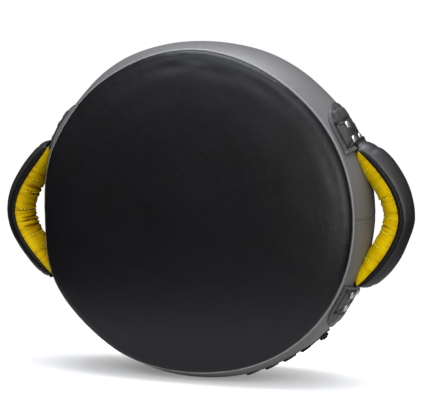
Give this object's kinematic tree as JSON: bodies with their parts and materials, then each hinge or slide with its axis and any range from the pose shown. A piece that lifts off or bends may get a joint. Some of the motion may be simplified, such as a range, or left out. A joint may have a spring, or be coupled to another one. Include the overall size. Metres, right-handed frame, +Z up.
{
  "type": "punching shield",
  "caption": "Round padded leather punch shield on its rim, with a domed striking face, a laced side wall and padded side handles.",
  "frame": {"origin": "on the floor, under the middle of the shield's width and depth", "axes": "+X to the right of someone who looks at the striking face, +Y from the striking face to the back, +Z up"},
  "size_m": [0.6559, 0.1574, 0.5241],
  "materials": {
    "black_leather": "satin",
    "grey_leather": "satin",
    "grey_piping": "satin",
    "yellow_fabric": "matte",
    "black_webbing": "matte",
    "black_lace": "matte",
    "foam": "closed-cell foam",
    "nickel": "polished"
  },
  "bodies": {
    "root": {"back_panel": "black_leather", "closure_flap": "grey_leather", "closure_lace": "black_lace", "core_foam": "foam", "front_foam": "foam", "front_piping": "grey_piping", "left_handle_front_edge": "black_leather", "left_handle_grip": "yellow_fabric", "left_handle_inner_padding": "foam", "left_handle_outer_padding": "foam", "left_handle_rear_edge": "black_leather", "left_handle_shell": "black_leather", "left_handle_strap": "black_webbing", "left_lower_burr_1": "nickel", "left_lower_burr_2": "nickel", "left_lower_burr_3": "nickel", "left_lower_patch": "black_leather", "left_lower_rivet_1": "nickel", "left_lower_rivet_2": "nickel", "left_lower_rivet_3": "nickel", "left_upper_burr_1": "nickel", "left_upper_burr_2": "nickel", "left_upper_burr_3": "nickel", "left_upper_patch": "black_leather", "left_upper_rivet_1": "nickel", "left_upper_rivet_2": "nickel", "left_upper_rivet_3": "nickel", "lower_gusset": "grey_leather", "rear_foam": "foam", "rear_piping": "grey_piping", "right_handle_front_edge": "black_leather", "right_handle_grip": "yellow_fabric", "right_handle_inner_padding": "foam", "right_handle_outer_padding": "foam", "right_handle_rear_edge": "black_leather", "right_handle_shell": "black_leather", "right_handle_strap": "black_webbing", "right_lower_burr_1": "nickel", "right_lower_burr_2": "nickel", "right_lower_burr_3": "nickel", "right_lower_patch": "black_leather", "right_lower_rivet_1": "nickel", "right_lower_rivet_2": "nickel", "right_lower_rivet_3": "nickel", "right_upper_burr_1": "nickel", "right_upper_burr_2": "nickel", "right_upper_burr_3": "nickel", "right_upper_patch": "black_leather", "right_upper_rivet_1": "nickel", "right_upper_rivet_2": "nickel", "right_upper_rivet_3": "nickel", "strike_face": "black_leather", "upper_gusset": "grey_leather"}
  },
  "joints": []
}
